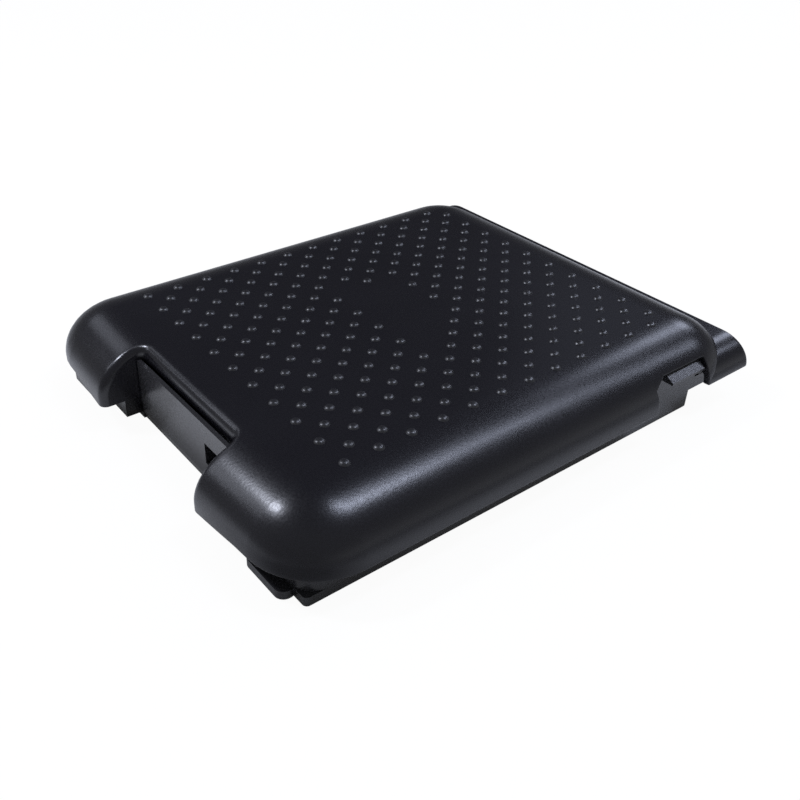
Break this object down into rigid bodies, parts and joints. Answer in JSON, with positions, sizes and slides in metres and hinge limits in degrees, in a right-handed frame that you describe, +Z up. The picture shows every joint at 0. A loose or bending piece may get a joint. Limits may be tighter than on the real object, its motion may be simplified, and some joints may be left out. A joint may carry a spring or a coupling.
{
  "type": "sewing machine foot control pedal",
  "caption": "Low black foot pedal for a sewing machine: a wide hinged treadle with rows of small raised dots over a shallow base tray, with a cord socket in a notch at the toe.",
  "frame": {"origin": "centre of the footprint's bounding box, on the surface the pedal stands on", "axes": "+Z up, +Y towards the heel end where the treadle is hinged, +X to the right as seen from the toe end; the toe notch faces -Y"},
  "size_m": [0.155, 0.185, 0.0283],
  "materials": {
    "treadle_plastic": "satin black moulded plastic with a fine grain",
    "base_plastic": "satin black moulded plastic",
    "rubber": "matt",
    "steel_pin": "ground",
    "spring_steel": "drawn wire",
    "screw_steel": "zinc plated",
    "cover_plastic": "dull",
    "board_laminate": "glass fibre board with lacquer",
    "plunger_plastic": "slippery white plastic",
    "component_black": "moulded resin",
    "contact_brass": "stamped",
    "wire_insulation": "smooth",
    "terminal_plastic": "dull",
    "sink_aluminium": "extruded",
    "film_capacitor_case": "resin case",
    "disc_ceramic": "lacquered",
    "ferrite": "sintered",
    "copper_winding": "enamelled wire",
    "resistor_body": "lacquered ceramic",
    "fuse_glass": "clear"
  },
  "bodies": {
    "base": {"base_tray": "base_plastic", "hinge_pin_left": "steel_pin", "hinge_pin_right": "steel_pin", "return_spring_left": "spring_steel", "return_spring_right": "spring_steel", "rubber_stops": "rubber", "foot_front_left": "rubber", "foot_front_right": "rubber", "foot_rear_left": "rubber", "foot_rear_right": "rubber", "inner_cover": "cover_plastic", "cover_screws": "screw_steel", "circuit_board": "board_laminate", "board_screws": "screw_steel", "plunger_spring": "spring_steel", "potentiometer_body": "component_black", "cord_socket": "component_black", "socket_contacts": "contact_brass", "socket_wires": "wire_insulation", "terminal_block": "terminal_plastic", "terminal_screws": "screw_steel", "triac": "component_black", "heat_sink": "sink_aluminium", "heat_sink_screw": "screw_steel", "film_capacitor": "film_capacitor_case", "disc_capacitor": "disc_ceramic", "choke_core": "ferrite", "choke_winding": "copper_winding", "power_resistor": "resistor_body", "resistors": "resistor_body", "fuse": "fuse_glass", "fuse_clips": "contact_brass"},
    "treadle": {"treadle": "treadle_plastic"},
    "plunger": {"sensor_plunger": "plunger_plastic", "potentiometer_slider": "plunger_plastic"}
  },
  "joints": [
    {"name": "treadle_hinge", "type": "hinge", "parent": "base", "child": "treadle", "pos_m": [0, 0.066, 0.014], "axis": [1, 0, 0], "range_deg": [0, 2.3], "stiffness_Nm_per_rad": 38, "springref_deg": -1.72, "deforming": ["return_spring_left", "return_spring_right"]},
    {"name": "plunger_slide", "type": "slide", "parent": "base", "child": "plunger", "axis": [0, 0, -1], "range_m": [0, 0.0045], "stiffness_N_per_m": 300, "springref_m": -0.003, "deforming": ["plunger_spring"]}
  ],
  "couplings": [
    {"joint": "plunger_slide", "follows": "treadle_hinge", "m_per_rad": 0.111}
  ]
}
